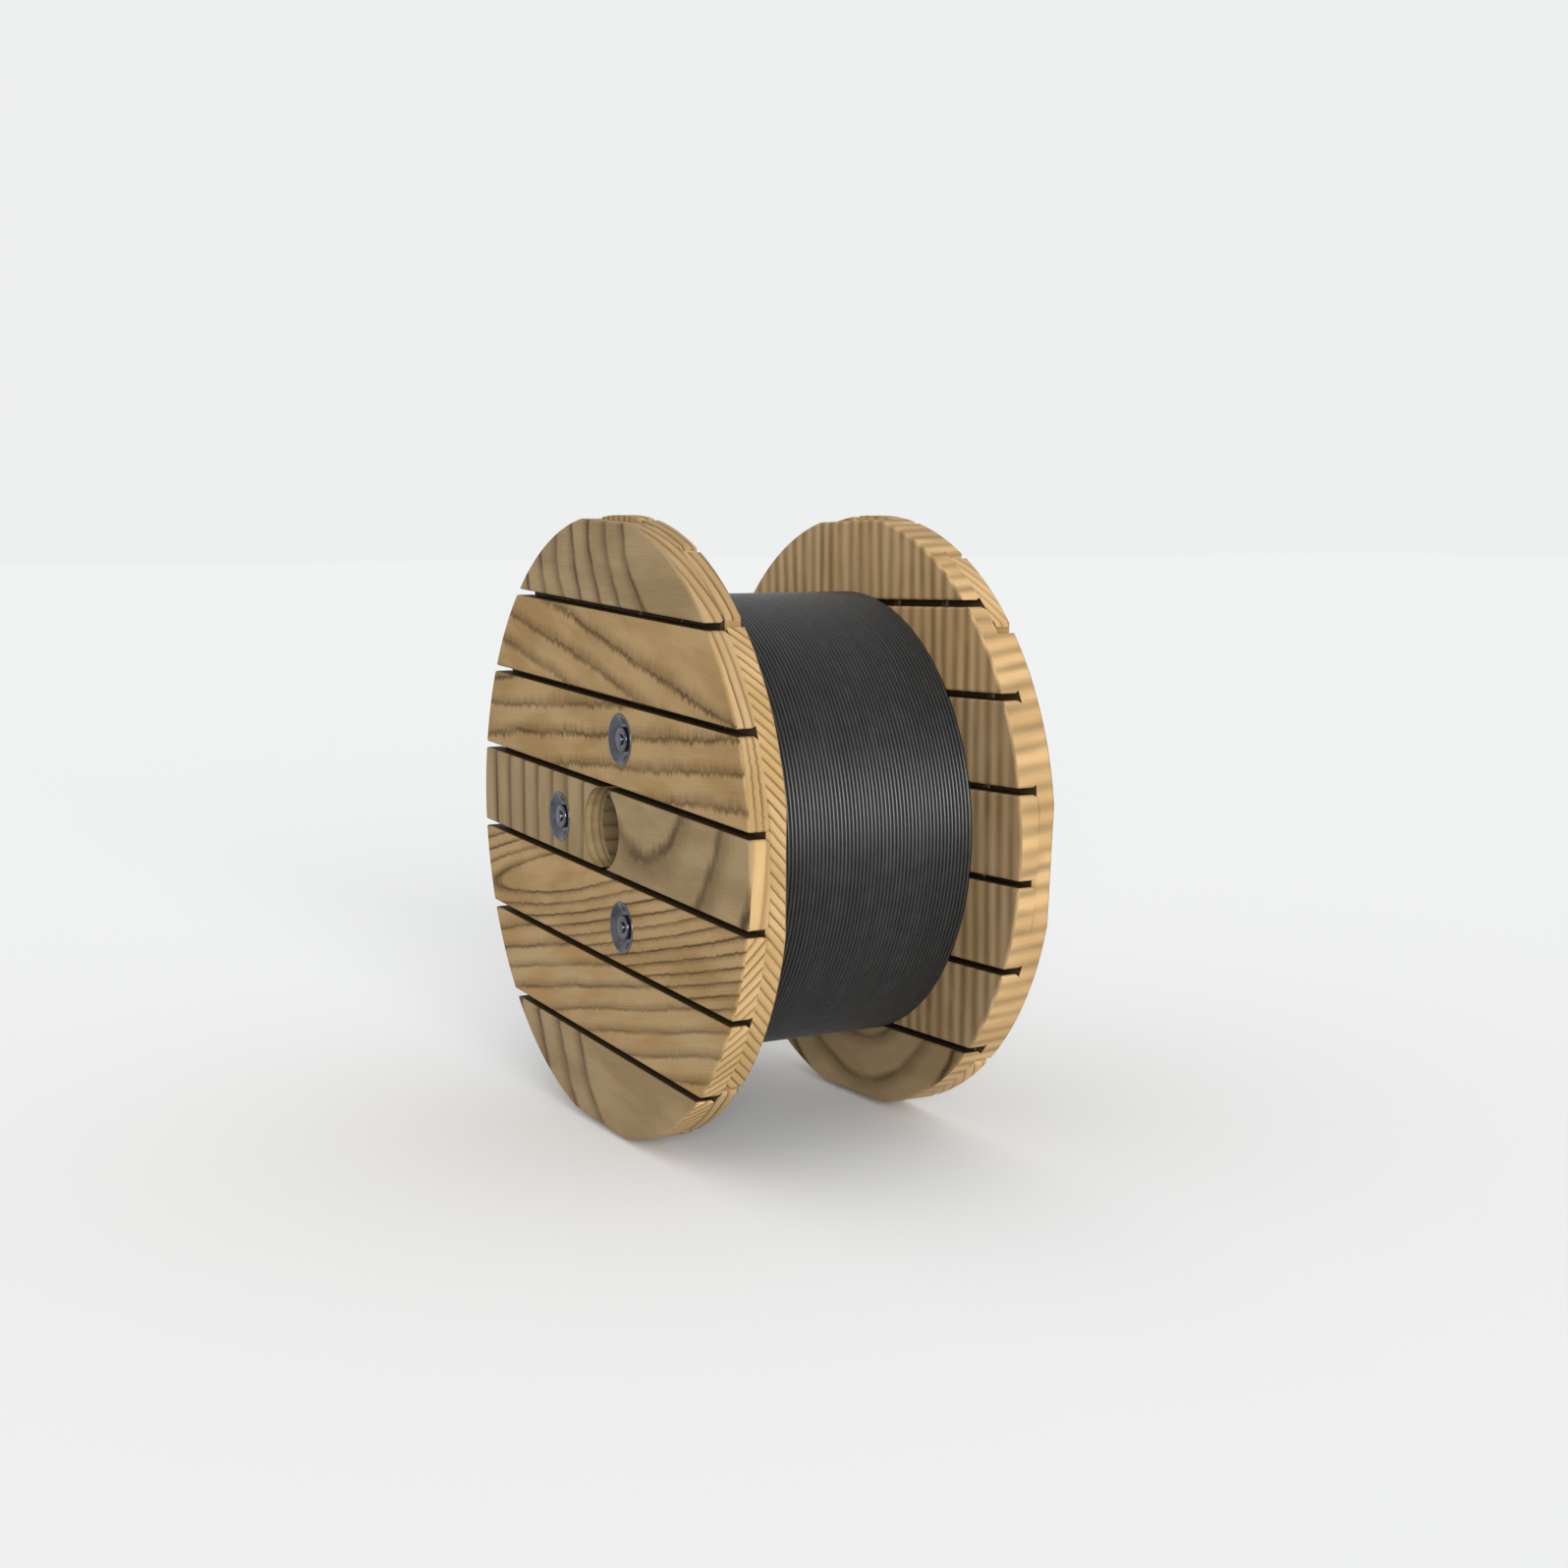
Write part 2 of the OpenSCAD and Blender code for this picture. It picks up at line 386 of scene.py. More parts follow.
# colours of the wood, in linear light
woodTones = {
    "tan": ((0.322, 0.216, 0.101), (0.252, 0.158, 0.062), (0.050, 0.024, 0.007)),
    "grey": ((0.266, 0.190, 0.100), (0.214, 0.150, 0.073), (0.052, 0.030, 0.012)),
    "golden": ((0.320, 0.225, 0.113), (0.285, 0.172, 0.067), (0.085, 0.052, 0.020)),
    "stripe": ((0.410, 0.282, 0.147), (0.352, 0.231, 0.110), (0.152, 0.092, 0.039)),
    # painted shade: a darker copy of stripe for the middle and lower rows of the back flange's inner face
    "stripeShaded": ((0.325, 0.228, 0.125), (0.280, 0.187, 0.094), (0.121, 0.075, 0.033)),
    "peach": ((0.450, 0.295, 0.140), (0.360, 0.228, 0.105), (0.150, 0.105, 0.048)),
    "rim": ((0.345, 0.235, 0.120), (0.290, 0.190, 0.082), (0.060, 0.027, 0.006)),
    "rimMid": ((0.395, 0.265, 0.128), (0.335, 0.218, 0.092), (0.070, 0.033, 0.009)),
    "rimPale": ((0.430, 0.290, 0.142), (0.365, 0.240, 0.104), (0.075, 0.036, 0.010)),
    # painted shade on the walls inside the arbor hole, darker than the open wood
    "boreShade": ((0.150, 0.105, 0.054), (0.160, 0.110, 0.055), (0.055, 0.034, 0.016)),
    # painted shade: near-black for the gaps, the faces seen through them and the depth of the arbor hole
    "deepShade": ((0.050, 0.034, 0.018), (0.058, 0.038, 0.020), (0.020, 0.012, 0.006)),
}

# one way of grain, where every wood below changes what it needs
plainGrain = {
    "place": (0, 0),       # millimetres across and up the flange, or along and through a rim
    "turn": 0,
    "spacing": 30,
    "start": 0,
    "last": 1000,
    "rings": False,
    "stretch": 1,
    "wave": 14,
    "jag": 5,
    "jagSize": 6,
    "width": 0.36,
    "depth": 0.95,
    "shade": 0.45,
    "tone": "tan",
    "bump": 0.25,
    "relief": 0.4,         # depth of the grain's bump
    "gloss": 0.06,
}


def woodMaterial(name, rim=False, **changes):
    grain = {**plainGrain, **changes}
    material, tree, shader = newMaterial(name, 0.55)
    shader.inputs["Specular IOR Level"].default_value = grain["gloss"]
    where = tree.nodes.new("ShaderNodeTexCoord").outputs["Object"]
    centre = tree.nodes.new("ShaderNodeMapping")
    centre.vector_type = "TEXTURE"
    turn = math.radians(grain["turn"])
    if rim:
        coordinates = tree.nodes.new("ShaderNodeGroup")
        coordinates.node_tree = rimGroup
        feed(tree, coordinates.inputs[0], where)
        where = coordinates.outputs[0]
        centre.inputs["Location"].default_value = (*grain["place"], 0)
        centre.inputs["Rotation"].default_value = (0, 0, turn)
    else:
        across, up = grain["place"]
        centre.inputs["Location"].default_value = (across * mm, 0, up * mm)
        centre.inputs["Rotation"].default_value = (math.radians(90), -turn, 0)
        centre.inputs["Scale"].default_value = (mm, mm, mm)
    feed(tree, centre.inputs["Vector"], where)
    lines = tree.nodes.new("ShaderNodeGroup")
    lines.node_tree = grainGroup
    feed(tree, lines.inputs["Vector"], centre.outputs[0])
    for label in ("Spacing", "Start", "Last", "Rings", "Stretch", "Wave", "Jag", "Width", "Depth", "Shade"):
        lines.inputs[label].default_value = float(grain[label.lower()])
    lines.inputs["Jag Size"].default_value = grain["jagSize"]
    for label, colour in zip(("Light", "Warm", "Dark"), woodTones[grain["tone"]]):
        lines.inputs[label].default_value = (*colour, 1)
    feed(tree, shader.inputs["Base Color"], lines.outputs["Color"])
    feed(tree, shader.inputs["Roughness"], lines.outputs["Roughness"])
    normal = bumpNormal(tree, lines.outputs["Height"], grain["relief"] * mm, grain["bump"])
    feed(tree, shader.inputs["Normal"], normal)
    return material


# face grain of each board, by layer and row
backStripes = {"turn": 90, "spacing": 19, "jag": 1, "wave": 12, "width": 1, "depth": 0.9, "shade": 0.2}
faceGrain = {
    "front_outer": {
        "1": {"place": (190, 330), "rings": True, "start": 146, "spacing": 38, "jag": 4, "wave": 24,
              "tone": "grey"},
        "2": {"place": (0, 185), "turn": -13.5, "spacing": 34, "last": 0, "jag": 16, "wave": 20},
        "3": {"place": (0, 90), "turn": 4, "jag": 18, "jagSize": 5, "wave": 18},
        "4_left": {"place": (-192, 0), "turn": 90, "spacing": 37, "jag": 2, "tone": "grey"},
        "4_right": {"place": (95, 70), "rings": True, "start": 85, "spacing": 72, "jag": 18, "wave": 24,
                    "tone": "grey"},
        "5": {"place": (-73, -51), "turn": 11.5, "rings": True, "stretch": 10, "start": 19.5,
              "spacing": 11.3, "jag": 5, "jagSize": 5, "wave": 6, "width": 0.4},
        "6": {"place": (0, -155), "turn": 11, "spacing": 21.8, "jag": 6, "width": 0.35, "shade": 0.45,
              "tone": "golden"},
        "7": {"place": (138, -123), "rings": True, "start": 220, "spacing": 45, "jag": 4, "wave": 24,
              "tone": "grey"},
    },
    "front_inner": {
        "other": {"turn": 80, "spacing": 24, "jag": 6, "tone": "tan"},
    },
    "back_inner": {
        "7": {"place": (20, -130), "rings": True, "start": 100, "spacing": 45, "jag": 2, "tone": "grey"},
        "1": {**backStripes, "tone": "stripe"},
        "2": {**backStripes, "tone": "stripe"},
        "other": {**backStripes, "tone": "stripeShaded"},
    },
    "back_outer": {
        "1": {"place": (-300, 200), "turn": 90, "rings": True, "stretch": 5, "start": 20, "spacing": 14,
              "jag": 4},
        "3": {"place": (-90, 0), "turn": 84, "spacing": 26, "jag": 12, "width": 0.3},
        "6": {"place": (170, 0), "turn": 93, "spacing": 20, "jag": 6, "shade": 0.4, "tone": "golden"},
        "other": {"turn": 88, "spacing": 31, "jag": 8, "tone": "grey"},
    },
}
# grain round the rims: X runs along the rim and up the right side, Y from the front to the back
plainStripes = {"turn": -3, "spacing": 9, "jag": 0.8, "wave": 6, "width": 0.28, "shade": 0.5, "tone": "rim"}
broadBands = {"turn": 84, "spacing": 19, "jag": 1.5, "wave": 14, "width": 0.85, "depth": 0.7, "tone": "peach"}
rimGrain = {
    "front_outer": {
        "1": {"turn": -7, "spacing": 10, "jag": 0.8, "wave": 8, "width": 0.24, "shade": 0.5, "tone": "rim"},
        "2": {"turn": -3, "spacing": 8, "jag": 0.8, "wave": 5, "width": 0.28, "shade": 0.5, "tone": "rim"},
        "3": {"turn": 1, "spacing": 7, "jag": 5, "jagSize": 4, "wave": 4, "tone": "rim"},
        "4_right": {"turn": 4, "spacing": 16, "jag": 1, "wave": 3, "depth": 0.4, "tone": "rimPale"},
        "other": {"turn": 40, "spacing": 8.5, "jag": 1.5, "wave": 3, "tone": "rimPale"},
    },
    "front_inner": {
        "5": plainStripes,
        "6": plainStripes,
        "other": {"turn": -42, "spacing": 8, "jag": 1.5, "wave": 3, "tone": "rimMid"},
    },
    "back_inner": {
        "other": broadBands,
    },
    "back_outer": {
        "6": {"turn": -24, "spacing": 9, "jag": 0.8, "wave": 5, "width": 0.3, "shade": 0.4, "tone": "peach"},
        "other": broadBands,
    },
}
# faces that lie on the next layer, faces inside the joints, and the walls of the arbor hole. deepShade on
# them is painted shade: near-black inside the level layers' joints, on hidden faces seen through the gaps,
# and deep in the arbor hole
hiddenGrain = {"spacing": 20, "tone": "deepShade"}
jointGrain = {
    "front_outer": {"turn": 90, "spacing": 9, "tone": "deepShade"},
    "front_inner": {"turn": 90, "spacing": 9, "tone": "rim"},
    "back_inner": {"turn": 90, "spacing": 9, "tone": "deepShade"},
    "back_outer": {"turn": 90, "spacing": 9, "tone": "rim"},
}
# boreShade on the inner layers of the hole is painted shade
boreGrain = {
    "front_outer": {"rim": True, "spacing": 8, "jag": 0, "wave": 0, "depth": 0.6, "tone": "grey"},
    "front_inner": {"turn": 5, "spacing": 14, "jag": 1, "wave": 3, "tone": "boreShade"},
    "back_inner": {"turn": 5, "spacing": 14, "jag": 1, "wave": 3, "tone": "deepShade"},
    "back_outer": {"rim": True, "spacing": 8, "jag": 0, "wave": 0, "tone": "boreShade"},
}
print("wood grain ready")


# flange boards, sizes in metres
flangeBoards = {
    "width": 0.079,
    "pitch": 0.085,
    "rows": 7,
    "cornerReach": 0.004,
    "cornerCuts": 5,
    "arrisRadius": 0.003,
    "arrisSteps": 4,
    "smoothAngle": 40,
    "rimSteps": 256,
    "clearRim": 0.009,      # the rim runs straight this far from each corner, so its rounding has room
}
# each layer: turn of its boards in degrees, whether they stand upright, which way its open face looks
# and how far its middle board sits off the axis
boardLayers = {
    "front_outer": {"turn": -2.6, "upright": False, "open": -1, "shift": 0},
    "front_inner": {"turn": 89.0, "upright": True, "open": 1, "shift": 0.003},
    "back_inner": {"turn": 1.4, "upright": False, "open": -1, "shift": 0},
    "back_outer": {"turn": 86.0, "upright": True, "open": 1, "shift": 0},
}
boardThickness = (outerFace - innerFace) / 2
middleRow = (flangeBoards["rows"] + 1) // 2
flatSide = (middleRow - 1) * flangeBoards["pitch"] + flangeBoards["width"] / 2    # the end boards' outer edge
seenEnd = flatSide - 10 * mm    # past it a hidden face shows beside the next layer's flat side


def sawOff(point, outward):
    bpy.ops.mesh.select_all(action="SELECT")
    bpy.ops.mesh.bisect(plane_co=point, plane_no=outward, use_fill=True, clear_outer=True)


def roundBoardCorner(edge, side, end, b):
    # flat cuts that follow the corner's arc, from the long edge round to the rim
    r = b["cornerReach"] * math.tan(math.radians(45) + side * math.asin(edge / flangeRadius) / 2)
    centreUp = edge - side * r
    centreReach = flangeRadius - r
    centreAlong = math.sqrt(centreReach ** 2 - centreUp ** 2)
    rimTurn = math.asin(centreUp / centreReach)
    edgeTurn = side * math.radians(90)
    for i in range(1, b["cornerCuts"] + 1):
        a = edgeTurn + (rimTurn - edgeTurn) * i / (b["cornerCuts"] + 1)
        outward = Vector((end * math.cos(a), 0, math.sin(a)))
        sawOff(Vector((end * centreAlong, 0, centreUp)) + outward * r, outward)


def clearRim(board, edges, b):
    # takes out the rim's upright lines that stand too near a corner
    mesh = board.data
    bpy.ops.mesh.select_all(action="DESELECT")
    bpy.ops.object.mode_set(mode="OBJECT")

    def onEdge(v):
        return any(abs(v.z - edge) < nearly for edge, side in edges)

    corners = [v.co for v in mesh.vertices if onEdge(v.co)]
    for line in mesh.edges:
        first, last = [mesh.vertices[i].co for i in line.vertices]
        upright = abs(first.y - last.y) > mm
        near = any((first - corner).length < b["clearRim"] for corner in corners)
        line.select = upright and near and not onEdge(first)
    bpy.ops.object.mode_set(mode="EDIT")
    bpy.ops.mesh.dissolve_edges(use_verts=True)


def roundArrises(board, openSide, b):
    # the open face is rounded all the way along its outline
    mesh = board.data
    bpy.ops.mesh.select_all(action="DESELECT")
    bpy.ops.object.mode_set(mode="OBJECT")
    for edge in mesh.edges:
        edge.select = all(mesh.vertices[i].co.y * openSide > 0 for i in edge.vertices)
    bpy.ops.object.mode_set(mode="EDIT")
    bpy.ops.mesh.bevel(
        offset=b["arrisRadius"], segments=b["arrisSteps"], affect="EDGES", clamp_overlap=False)


def chamferBack(edge, side, openSide, b):
    # on the hidden face only the long edges are broken, by one flat cut each
    sawOff((0, -openSide * boardThickness / 2, edge - side * b["arrisRadius"]), (0, -openSide, side))


def sawBoard(row, shape, b):
    # a level board of the flange, sawn from a round blank
    deselectAll()
    bpy.ops.mesh.primitive_cylinder_add(
        vertices=b["rimSteps"], radius=flangeRadius, depth=boardThickness, rotation=(math.radians(90), 0, 0))
    board = bpy.context.object
    bpy.ops.object.transform_apply(location=False, rotation=True, scale=False)
    bpy.ops.object.mode_set(mode="EDIT")
    bpy.ops.mesh.select_mode(type="EDGE")
    middle = (middleRow - row) * b["pitch"] + (shape["shift"] if row == middleRow else 0)
    edges = [(middle + side * b["width"] / 2, side) for side in (-1, 1)]
    for edge, side in edges:
        sawOff((0, 0, edge), (0, 0, side))
    clearRim(board, edges, b)
    roundArrises(board, shape["open"], b)
    for edge, side in edges:
        chamferBack(edge, side, shape["open"], b)
        if abs(edge) < flangeRadius - 2 * b["cornerReach"]:
            for end in (-1, 1):
                roundBoardCorner(edge, side, end, b)
    for end in (-1, 1):
        bpy.ops.mesh.select_all(action="SELECT")
        bpy.ops.mesh.bisect(plane_co=(end * seenEnd, 0, 0), plane_no=(1, 0, 0))
    bpy.ops.mesh.select_all(action="SELECT")
    bpy.ops.mesh.remove_doubles(threshold=2 * nearly)
    bpy.ops.object.mode_set(mode="OBJECT")
    return board


def halveBoard(board, keep):
    # the arbor hole takes out the middle of this board, so each half stands alone
    half = copyOf(board, "half")
    activate(half)
    bpy.ops.object.mode_set(mode="EDIT")
    sawOff((0, 0, 0), (-keep, 0, 0))
    bpy.ops.object.mode_set(mode="OBJECT")
    return half


# tie bolts, dished washers and nuts, sizes in metres
tieBolts = {
    "angles": (64, 180, 296),
    "circle": 0.100,
    "shank": 0.006,
    "hole": 0.0065,
    "head": 0.012,
    "headHeight": 0.0055,
    "boss": 0.0055,
    "bossHeight": 0.002,
    "headRound": 0.0016,
    "bossRound": 0.0009,
    "nutHeight": 0.010,
    "nutWidth": 0.018,
    "nutChamfer": 0.0009,
    "nutHole": 0.0061,
    "tip": 0.002,
    "threadPitch": 0.00175,
    "threadDepth": 0.0009,
    "threadTurns": 9,
    "steps": 64,
    "arborSteps": 128,
}
dishWashers = {
    "radius": 0.025,
    "floor": 0.0145,
    "depth": 0.006,
    "sheet": 0.002,
    "rimHeight": 0.0005,
    "pocketPlay": 0.0003,
    "rimRound": 0.0004,
    "bend": 0.0016,
    "steps": 96,
}
boltPlaces = [
    tieBolts["circle"] * Vector((math.cos(math.radians(a)), 0, math.sin(math.radians(a))))
    for a in tieBolts["angles"]
]


def makeDrill(t, w):
    # the arbor hole and the three bolt holes with their washer pockets, as one cutting tool
    past = 20 * mm    # the tool reaches this far out of the flanges
    seat = outerFace - w["depth"] - w["sheet"]
    pocket = [(0, seat), (w["floor"] + w["pocketPlay"], seat), (w["radius"] + w["pocketPlay"], outerFace)]
    pocket += [(w["radius"] + w["pocketPlay"], outerFace + past), (0, outerFace + past)]
    shank = [(t["hole"], -seat), (t["hole"], seat)]
    outline = [(r, -y) for r, y in reversed(pocket[1:])] + shank + pocket[1:]
    deselectAll()
    bpy.ops.mesh.primitive_cylinder_add(
        vertices=t["arborSteps"], radius=arborRadius, depth=2 * (outerFace + past),
        rotation=(math.radians(90), 0, 0))
    drill = bpy.context.object
    settle(drill)
    hole = turnOutline("boltHole", outline, t["steps"])
    tools = [drill]
    for place in boltPlaces:
        tools.append(copyOf(hole, "boltHole"))
        tools[-1].location = place
        settle(tools[-1])
    discard(hole)
    deselectAll()
    for tool in tools:
        tool.select_set(True)
    bpy.context.view_layer.objects.active = drill
    bpy.ops.object.join()
    return drill


drill = makeDrill(tieBolts, dishWashers)


def sawLayer(shape):
    # every board of one layer, still level and in the middle of the drum
    layerBoards = {}
    halves = ("4_lower", "4_upper") if shape["upright"] else ("4_left", "4_right")
    for row in range(1, flangeBoards["rows"] + 1):
        board = sawBoard(row, shape, flangeBoards)
        if row != middleRow:
            layerBoards[str(row)] = board
            continue
        for half, keep in zip(halves, (-1, 1)):
            layerBoards[half] = halveBoard(board, keep)
        discard(board)
    return layerBoards


def paintBoard(board, shape, materials):
    # slots: open face, rim, joints, arbor hole, hidden face
    for material in materials:
        board.data.materials.append(material)
    turn = math.radians(shape["turn"])
    onBore = arborRadius + mm
    onRim = flangeRadius - flangeBoards["arrisRadius"]
    onFlat = flatSide - 2 * mm
    for face in board.data.polygons:
        c = face.center
        out = math.hypot(c.x, c.z)
        acrossBoard = c.z * math.cos(turn) - c.x * math.sin(turn)
        if face.normal.y * shape["open"] > 0.5:
            face.material_index = 0
        elif face.normal.y * shape["open"] < -0.5:
            face.material_index = 1 if out > seenEnd else 4
        elif out < onBore:
            face.material_index = 3
        elif out > onRim or abs(acrossBoard) > onFlat:
            face.material_index = 1
        else:
            face.material_index = 2


def grainOf(table, row):
    return table[row] if row in table else table["other"]


endRows = ("1", str(flangeBoards["rows"]))    # no hole goes through these
made = 0
hidden = woodMaterial("hiddenFaces", **hiddenGrain)
for layer, shape in boardLayers.items():
    low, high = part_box(layer + "_board_1")
    joint = woodMaterial(layer + "_joint", **jointGrain[layer])
    bore = woodMaterial(layer + "_bore", **boreGrain[layer])
    for row, board in sawLayer(shape).items():
        board.name = layer + "Board_" + row
        board.rotation_euler = (0, -math.radians(shape["turn"]), 0)
        board.location = (0, (low.y + high.y) / 2, 0)
        settle(board)
        if row not in endRows:
            applyBoolean(board, drill, "DIFFERENCE")
        smoothShade(board, flangeBoards["smoothAngle"])
        face = woodMaterial(board.name + "_face", **grainOf(faceGrain[layer], row))
        rim = woodMaterial(board.name + "_rim", rim=True, **grainOf(rimGrain[layer], row))
        paintBoard(board, shape, (face, rim, joint, bore, hidden))
        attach(board, "root")
        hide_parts(layer + "_board_" + row)
        made += 1
discard(drill)
print("flange boards made:", made)


# polished dark steel of the bolts, nuts and washers
steelLook = {
    "colour": (0.110, 0.114, 0.130),
    "stain": (0.070, 0.073, 0.084),
    "roughness": 0.14,
    "dullRoughness": 0.2,
}


def steelMaterial(name, look):
    material, tree, shader = newMaterial(name, look["roughness"], 1.0)
    where = tree.nodes.new("ShaderNodeTexCoord").outputs["Object"]
    cloud = rangeNode(tree, noiseNode(tree, where, 90, 4), 0.4, 0.65, 0, 1)
    colour = mixColour(tree, cloud, (*look["colour"], 1), (*look["stain"], 1))
    feed(tree, shader.inputs["Base Color"], colour)
    fine = noiseNode(tree, where, 900, 2)
    roughness = rangeNode(tree, fine, 0.3, 0.7, look["roughness"], look["dullRoughness"])
    feed(tree, shader.inputs["Roughness"], roughness)
    return material


steel = steelMaterial("darkSteel", steelLook)


def placeAtBolts(model, label, nodes):
    # a copy at every bolt, each with its own mesh
    for i, place in enumerate(boltPlaces):
        piece = copyOf(model, label + str(i + 1))
        piece.location = place
        settle(piece)
        piece.data.materials.append(steel)
        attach(piece, "root")
        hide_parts(nodes + str(i + 1))
    discard(model)


def modelWasher(side, w, t):
    # side is -1 on the front flange and 1 on the back one
    face = side * outerFace
    seat = side * (outerFace - w["depth"] - w["sheet"])
    floor = side * (outerFace - w["depth"])
    top = side * (outerFace + w["rimHeight"])
    lip = w["radius"] - w["sheet"]
    outline = [
        (t["hole"], seat), (w["floor"], seat), (w["radius"], face), (w["radius"], top), (lip, top),
        (w["floor"], floor), (t["hole"], floor), (t["hole"], seat),
    ]
    washer = turnOutline("dishWasher", outline, w["steps"])
    bevelRings(washer, [(w["radius"], top), (lip, top)], w["rimRound"], 3)
    bevelRings(washer, [(w["floor"], floor)], w["bend"], 4)
    smoothShade(washer, 50)
    return washer


def modelBolt(t, w):
    seat = outerFace - w["depth"]
    headTop = -seat - t["headHeight"]
    bossTop = headTop - t["bossHeight"]
    tip = seat + t["nutHeight"] + t["tip"]
    root = t["shank"] - t["threadDepth"]
    outline = [(0, tip), (root, tip)]
    for i in range(t["threadTurns"]):
        crest = tip - (i + 0.75) * t["threadPitch"]
        outline.append((t["shank"], crest))
        outline.append((root, crest - t["threadPitch"] / 2))
    outline += [
        (t["shank"], outline[-1][1] - t["threadPitch"]), (t["shank"], -seat), (t["head"], -seat),
        (t["head"], headTop), (t["boss"], headTop), (t["boss"], bossTop), (0, bossTop),
    ]
    bolt = turnOutline("tieBolt", outline, t["steps"])
    bevelRings(bolt, [(t["head"], headTop)], t["headRound"], 4)
    bevelRings(bolt, [(t["boss"], bossTop)], t["bossRound"], 3)
    smoothShade(bolt, 40)
    return bolt


def modelNut(angle, t, w):
    # a six-sided bar with a corner pointing away from the drum's axis, turned down at its outer end
    corner = t["nutWidth"] / 2 / math.cos(math.radians(30))
    start = outerFace - w["depth"]
    end = start + t["nutHeight"]
    deselectAll()
    bpy.ops.mesh.primitive_cylinder_add(
        vertices=6, radius=corner, depth=t["nutHeight"], rotation=(math.radians(90), 0, 0))
    nut = bpy.context.object
    settle(nut)
    nut.rotation_euler = (0, math.radians(90 - angle), 0)
    nut.location = (0, (start + end) / 2, 0)
    settle(nut)
    past = 5 * mm    # the turning tools reach this far out of the nut
    cone = turnOutline("nutCone", [
        (0, start - past), (corner + past, start - past), (corner + past, end - t["nutChamfer"] + past / 2),
        (t["nutWidth"] / 2 - mm, end + 0.001 * mm), (0, end + 0.001 * mm)], t["steps"])
    hole = turnOutline("nutHole", [
        (0, start - past), (t["nutHole"], start - past),
        (t["nutHole"], end + past), (0, end + past)], t["steps"])
    applyBoolean(nut, cone, "INTERSECT")
    applyBoolean(nut, hole, "DIFFERENCE")
    discard(cone, hole)
    smoothShade(nut, 30)
    return nut


placeAtBolts(modelWasher(-1, dishWashers, tieBolts), "frontDishWasher", "front_dish_washer_")
placeAtBolts(modelWasher(1, dishWashers, tieBolts), "backDishWasher", "back_dish_washer_")
placeAtBolts(modelBolt(tieBolts, dishWashers), "tieBolt", "tie_bolt_")
for i, angle in enumerate(tieBolts["angles"]):
    nut = modelNut(angle, tieBolts, dishWashers)
    nut.name = "nut" + str(i + 1)
    nut.location = boltPlaces[i]
    settle(nut)
    nut.data.materials.append(steel)
    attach(nut, "root")
    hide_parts("nut_" + str(i + 1))
print("bolts, washers and nuts made")


# cable winding: every turn of the outside, and every layer at the ends, stands out as a round ridge
cableWinding = {
    "turns": 60,
    "layers": 20,
    "ridgePoints": 6,
    "endPoints": 3,
    "valley": 14,      # degrees of each ridge hidden in the valleys
    "steps": 120,
    "colour": (0.007, 0.007, 0.007),
    "ridge": (0.014, 0.014, 0.014),
    "roughness": 0.33,
    "dustRoughness": 0.4,
    "gloss": 0.5,
}


def ridgeRow(start, step, outward, radius, count, points, valley):
    # points of half-round ridges, side by side from a start along a step
    row = []
    along = step.normalized()
    for i in range(count):
        middle = start + step * (i + 0.5)
        for k in range(points):
            a = math.radians(valley + (180 - 2 * valley) * k / (points - 1))
            row.append(middle - along * radius * math.cos(a) - outward * radius * (1 - math.sin(a)))
    return row


def modelWinding(c):
    outer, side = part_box("cable_winding")[1].xy
    inner = min(math.hypot(v.co.x, v.co.z) for v in bpy.data.objects["cable_winding"].data.vertices)
    pitch = 2 * side / c["turns"]
    layer = (outer - inner) / c["layers"]
    outline = ridgeRow(Vector((outer, -side)), Vector((0, pitch)), Vector((1, 0)), pitch / 2,
                       c["turns"], c["ridgePoints"], c["valley"])
    outline += ridgeRow(Vector((outer, side)), Vector((-layer, 0)), Vector((0, 1)), layer / 2,
                        c["layers"], c["endPoints"], c["valley"])
    outline += ridgeRow(Vector((inner, -side)), Vector((layer, 0)), Vector((0, -1)), layer / 2,
                        c["layers"], c["endPoints"], c["valley"])
    outline.append(outline[0])
    winding = turnOutline("cableWinding", outline, c["steps"])
    smoothShade(winding, 50)
    return winding, pitch


def cableMaterial(name, pitch, c):
    material, tree, shader = newMaterial(name, c["roughness"])
    shader.inputs["Specular IOR Level"].default_value = c["gloss"]
    where = tree.nodes.new("ShaderNodeTexCoord").outputs["Object"]
    turnNumber = mathNode(tree, "FLOOR", mathNode(tree, "DIVIDE", splitXyz(tree, where)["Y"], pitch))
    lot = tree.nodes.new("ShaderNodeTexWhiteNoise")
    lot.noise_dimensions = "1D"
    feed(tree, lot.inputs["W"], turnNumber)
    dust = noiseNode(tree, where, 60, 3)
    pale = mathNode(tree, "MULTIPLY", rangeNode(tree, dust, 0.35, 0.7, 0.2, 1), lot.outputs[0])
    colour = mixColour(tree, pale, (*c["colour"], 1), (*c["ridge"], 1))
    feed(tree, shader.inputs["Base Color"], colour)
    roughness = rangeNode(tree, dust, 0.3, 0.7, c["roughness"], c["dustRoughness"])
    feed(tree, shader.inputs["Roughness"], roughness)
    return material


winding, turnPitch = modelWinding(cableWinding)
winding.data.materials.append(cableMaterial("cableSheath", turnPitch, cableWinding))
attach(winding, "root")
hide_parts("cable_winding")
print("cable winding made:", len(winding.data.polygons), "faces")


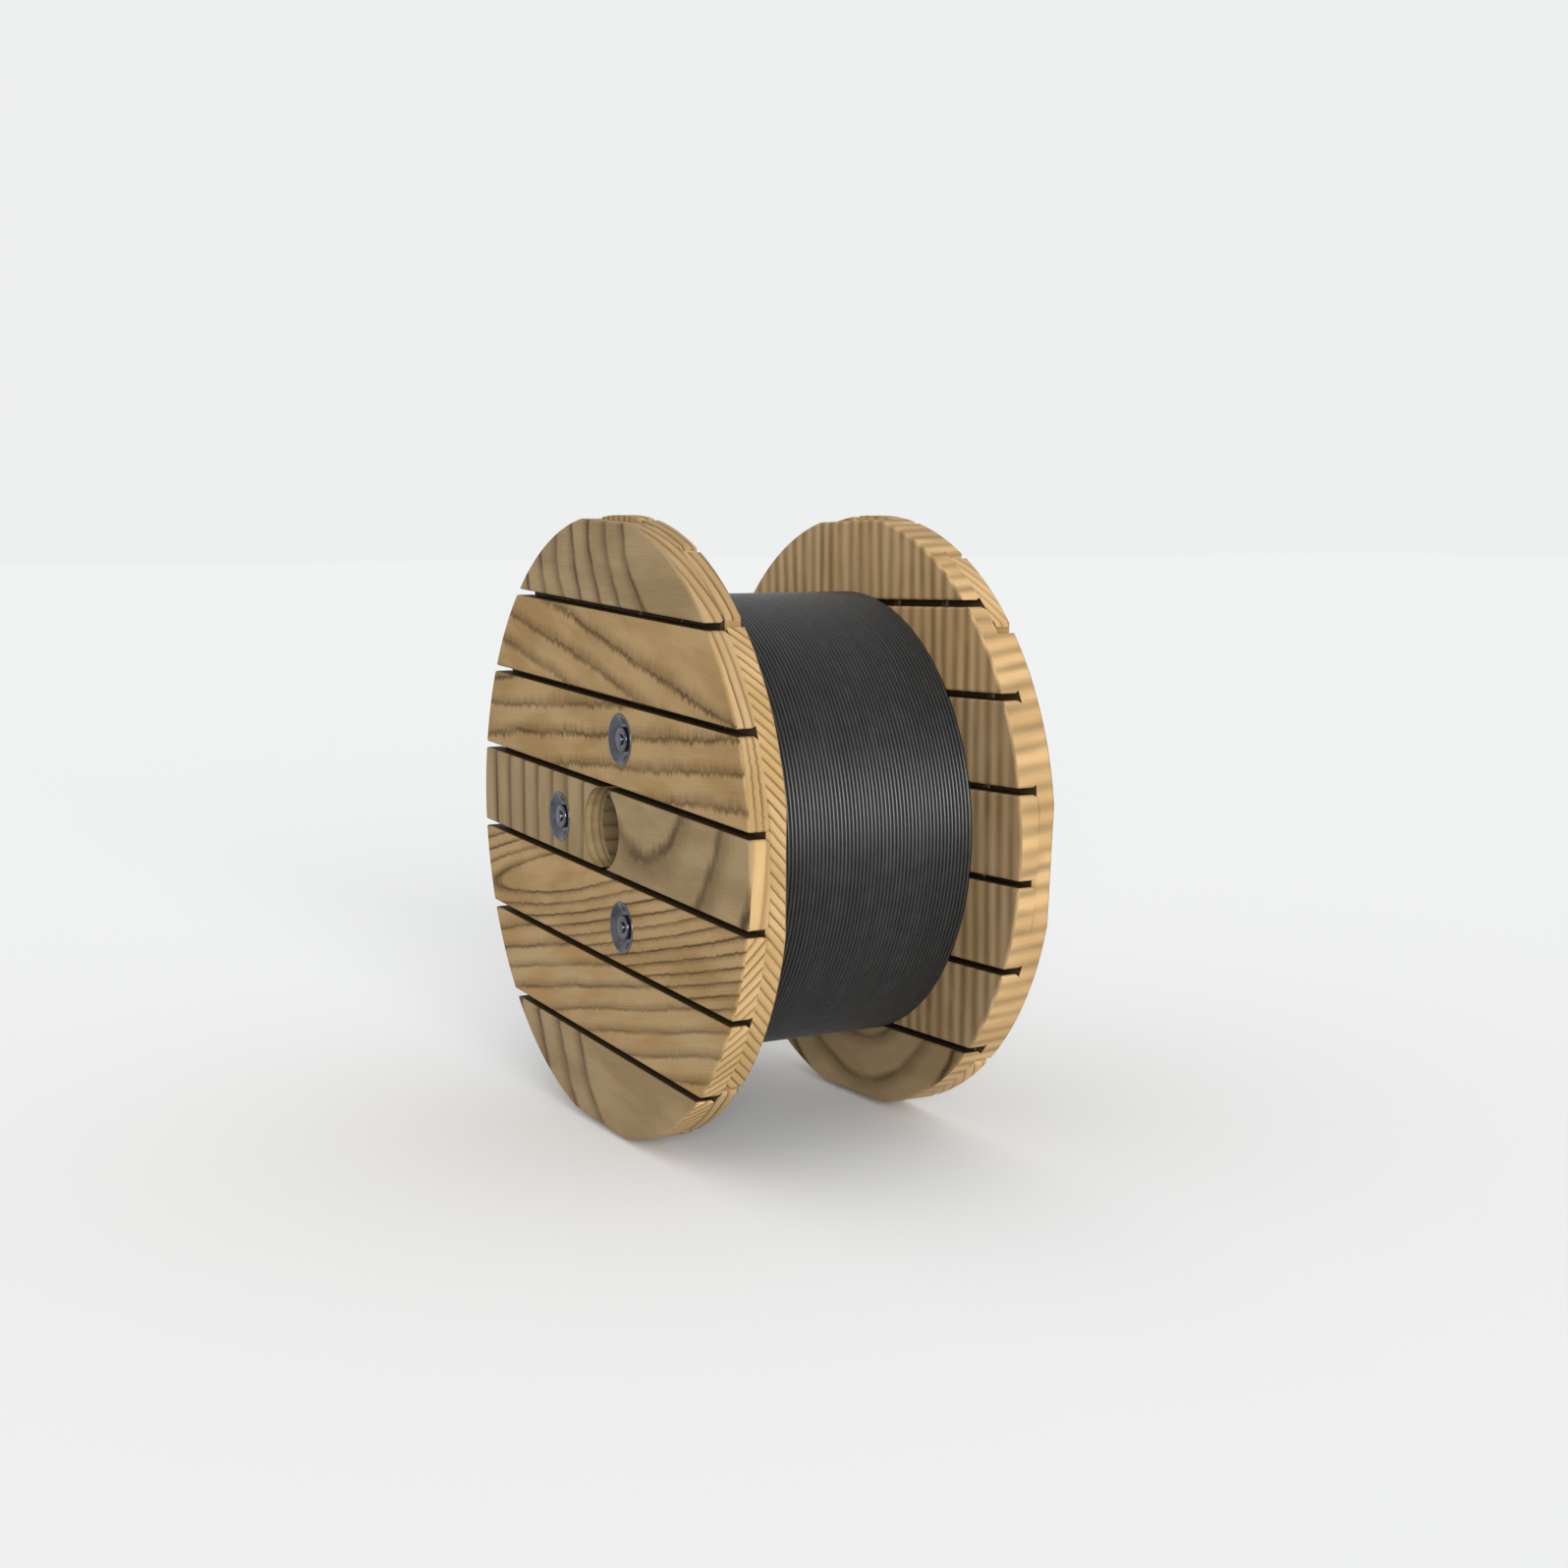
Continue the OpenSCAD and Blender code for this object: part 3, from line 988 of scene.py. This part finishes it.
# barrel staves keep their solids and get sawn wood, with the grain along the drum's axis
staveWood = woodMaterial("staveWood", rim=True, turn=90, spacing=16, jag=2, tone="tan")
staves = [node for node in bpy.data.objects if node.name.startswith("barrel_stave_")]
for stave in staves:
    for place in stave.material_slots:
        place.material = staveWood
print("staves painted:", len(staves))


# floor, lights and background
studio = {
    "background": (0.855, 0.862, 0.862),
    "floor": (0.815, 0.822, 0.822),
    "fill": 0.84,
    "key": 2.0,
    "keyFrom": (0.94, -0.32, 0.06),    # towards the lamp
    "keySpread": 45,
    "floorSize": 60,
}


def addFloor(s):
    bpy.ops.mesh.primitive_plane_add(size=s["floorSize"], location=(0, 0, cadBox[0][2]))
    floor = bpy.context.object
    floor.name = "floor"
    material, tree, shader = newMaterial("paleFloor", 1.0)
    shader.inputs["Base Color"].default_value = (*s["floor"], 1)
    shader.inputs["Specular IOR Level"].default_value = 0
    floor.data.materials.append(material)


def addLights(s):
    towards = Vector(s["keyFrom"]).to_track_quat("Z", "Y").to_euler()
    bpy.ops.object.light_add(type="SUN", rotation=towards)
    key = bpy.context.object
    key.name = "keyLamp"
    key.data.energy = s["key"] * math.pi
    key.data.angle = math.radians(s["keySpread"])
    world = bpy.data.worlds.new("studio")
    bpy.context.scene.world = world
    world.use_nodes = True
    tree = world.node_tree
    fill = tree.nodes["Background"]
    fill.inputs["Color"].default_value = (s["fill"], s["fill"], s["fill"], 1)
    seen = tree.nodes.new("ShaderNodeBackground")
    seen.inputs["Color"].default_value = (*s["background"], 1)
    path = tree.nodes.new("ShaderNodeLightPath").outputs
    direct = mathNode(tree, "MAXIMUM", path["Is Camera Ray"], path["Is Glossy Ray"])
    direct = mathNode(tree, "MAXIMUM", direct, path["Is Transmission Ray"])
    both = tree.nodes.new("ShaderNodeMixShader")
    feed(tree, both.inputs[0], direct)
    feed(tree, both.inputs[1], fill.outputs[0])
    feed(tree, both.inputs[2], seen.outputs[0])
    feed(tree, tree.nodes["World Output"].inputs["Surface"], both.outputs[0])


deselectAll()
addFloor(studio)
addLights(studio)
bpy.context.scene.view_settings.view_transform = "Standard"
print("studio ready")
